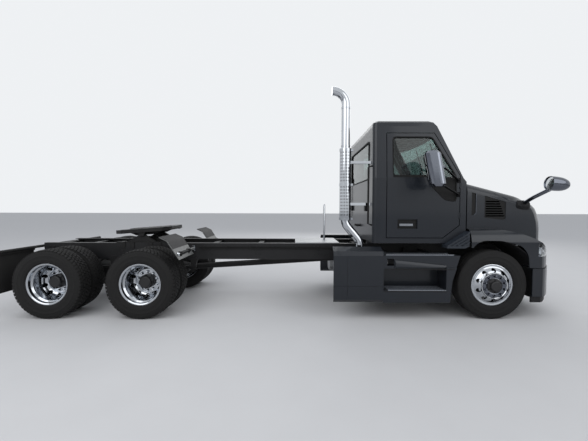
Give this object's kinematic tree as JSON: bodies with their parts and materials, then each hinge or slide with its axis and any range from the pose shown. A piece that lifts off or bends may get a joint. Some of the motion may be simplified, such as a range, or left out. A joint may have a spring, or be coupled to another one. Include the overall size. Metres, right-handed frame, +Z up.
{
  "type": "day-cab semi truck tractor unit",
  "caption": "Conventional day-cab tractor unit with tilting hood, opening doors, steered front wheels, tandem drive axles and a tilting fifth wheel.",
  "frame": {"origin": "on the ground under the middle of the truck's length and width", "axes": "+X forward along the truck, +Y to the driver's left, +Z up"},
  "size_m": [8.331, 3.147, 3.3955],
  "materials": {
    "black_frame": "satin black chassis paint",
    "body_paint": "dark charcoal metallic paint",
    "polished_aluminium": "polished",
    "chrome": "mirror bright",
    "tyre": "black tread rubber",
    "black_plastic": "grained black",
    "flap_rubber": "matt black",
    "cast_dark": "dark painted casting",
    "tread_plate": "raised tread pattern",
    "screen_glass": "lightly tinted",
    "lens": "clear lamp lens",
    "trim_grey": "grained dark grey",
    "seat_cloth": "woven dark grey",
    "mirror_chrome": "bright shell",
    "tank_aluminium": "brushed"
  },
  "bodies": {
    "chassis": {"frame_rail_left": "black_frame", "frame_rail_right": "black_frame", "crossmembers": "black_frame", "front_axle": "cast_dark", "front_springs": "cast_dark", "front_drive_axle": "cast_dark", "rear_drive_axle": "cast_dark", "rear_suspension": "cast_dark", "powertrain": "cast_dark", "radiator": "black_plastic", "fifth_wheel_base": "cast_dark", "deck_plate": "tread_plate", "quarter_fender_left": "black_plastic", "quarter_fender_right": "black_plastic", "mudflaps": "flap_rubber", "rear_light_bar": "black_frame", "fairing_left": "body_paint", "fairing_right": "body_paint", "fuel_tank": "tank_aluminium", "service_boxes": "black_plastic", "air_tank": "black_frame", "exhaust_stack": "chrome", "bumper": "body_paint", "air_dam": "black_plastic", "cab_shell": "body_paint", "windshield": "screen_glass", "rear_window": "screen_glass", "splash_panels": "black_plastic", "seats": "seat_cloth", "dashboard": "trim_grey"},
    "hood": {"hood": "body_paint", "grille": "chrome", "headlamps": "lens", "hood_mirrors": "mirror_chrome", "hood_vents": "black_plastic", "fender_liners": "black_plastic"},
    "tie_rod": {"tie_rod": "cast_dark"},
    "fifth_wheel": {"fifth_wheel_plate": "cast_dark"},
    "steering_wheel": {"steering_wheel": "black_plastic"},
    "door_left": {"door_left": "body_paint", "door_glass_left": "screen_glass", "door_mirror_left": "mirror_chrome"},
    "knuckle_left": {"knuckle_left": "cast_dark"},
    "steer_wheel_left": {"steer_wheel_left": "polished_aluminium", "steer_tyre_left": "tyre"},
    "front_drive_left": {"front_drive_wheel_left": "polished_aluminium", "front_drive_tyres_left": "tyre"},
    "rear_drive_left": {"rear_drive_wheel_left": "polished_aluminium", "rear_drive_tyres_left": "tyre"},
    "door_right": {"door_right": "body_paint", "door_glass_right": "screen_glass", "door_mirror_right": "mirror_chrome"},
    "knuckle_right": {"knuckle_right": "cast_dark"},
    "steer_wheel_right": {"steer_wheel_right": "polished_aluminium", "steer_tyre_right": "tyre"},
    "front_drive_right": {"front_drive_wheel_right": "polished_aluminium", "front_drive_tyres_right": "tyre"},
    "rear_drive_right": {"rear_drive_wheel_right": "polished_aluminium", "rear_drive_tyres_right": "tyre"}
  },
  "joints": [
    {"name": "hood_tilt", "type": "hinge", "parent": "chassis", "child": "hood", "pos_m": [3.9905, 0, 0.83], "axis": [0, 1, 0], "range_deg": [0, 60]},
    {"name": "door_left_swing", "type": "hinge", "parent": "chassis", "child": "door_left", "pos_m": [2.4685, 1.055, 1.72], "axis": [0, 0, -1], "range_deg": [0, 70]},
    {"name": "steer_left", "type": "hinge", "parent": "chassis", "child": "knuckle_left", "pos_m": [2.9095, 0.856, 0.5], "axis": [0, 0, 1], "range_deg": [-35, 35]},
    {"name": "steer_wheel_left_roll", "type": "hinge", "parent": "knuckle_left", "child": "steer_wheel_left", "pos_m": [2.9095, 1.03, 0.5], "axis": [0, 1, 0], "continuous": true},
    {"name": "door_right_swing", "type": "hinge", "parent": "chassis", "child": "door_right", "pos_m": [2.4685, -1.055, 1.72], "axis": [0, 0, 1], "range_deg": [0, 70]},
    {"name": "steer_right", "type": "hinge", "parent": "chassis", "child": "knuckle_right", "pos_m": [2.9095, -0.856, 0.5], "axis": [0, 0, 1], "range_deg": [-35, 35]},
    {"name": "steer_wheel_right_roll", "type": "hinge", "parent": "knuckle_right", "child": "steer_wheel_right", "pos_m": [2.9095, -1.03, 0.5], "axis": [0, 1, 0], "continuous": true},
    {"name": "tie_rod_link", "type": "hinge", "parent": "knuckle_left", "child": "tie_rod", "pos_m": [2.7295, 0.856, 0.39], "axis": [0, 0, 1], "range_deg": [-35, 35]},
    {"name": "front_drive_left_roll", "type": "hinge", "parent": "chassis", "child": "front_drive_left", "pos_m": [-2.1355, 0.92, 0.5], "axis": [0, 1, 0], "continuous": true},
    {"name": "front_drive_right_roll", "type": "hinge", "parent": "chassis", "child": "front_drive_right", "pos_m": [-2.1355, -0.92, 0.5], "axis": [0, 1, 0], "continuous": true},
    {"name": "rear_drive_left_roll", "type": "hinge", "parent": "chassis", "child": "rear_drive_left", "pos_m": [-3.4655, 0.92, 0.5], "axis": [0, 1, 0], "continuous": true},
    {"name": "rear_drive_right_roll", "type": "hinge", "parent": "chassis", "child": "rear_drive_right", "pos_m": [-3.4655, -0.92, 0.5], "axis": [0, 1, 0], "continuous": true},
    {"name": "fifth_wheel_tilt", "type": "hinge", "parent": "chassis", "child": "fifth_wheel", "pos_m": [-2.4705, 0, 1.15], "axis": [0, 1, 0], "range_deg": [-12, 12]},
    {"name": "steering_wheel_turn", "type": "hinge", "parent": "chassis", "child": "steering_wheel", "pos_m": [2.0405, 0.52, 1.93], "axis": [-0.4695, 0, 0.8829], "range_deg": [-600, 600]}
  ],
  "couplings": [
    {"joint": "steer_right", "follows": "steer_left", "ratio": 1},
    {"joint": "tie_rod_link", "follows": "steer_left", "ratio": -1},
    {"joint": "steering_wheel_turn", "follows": "steer_left", "ratio": 16}
  ]
}
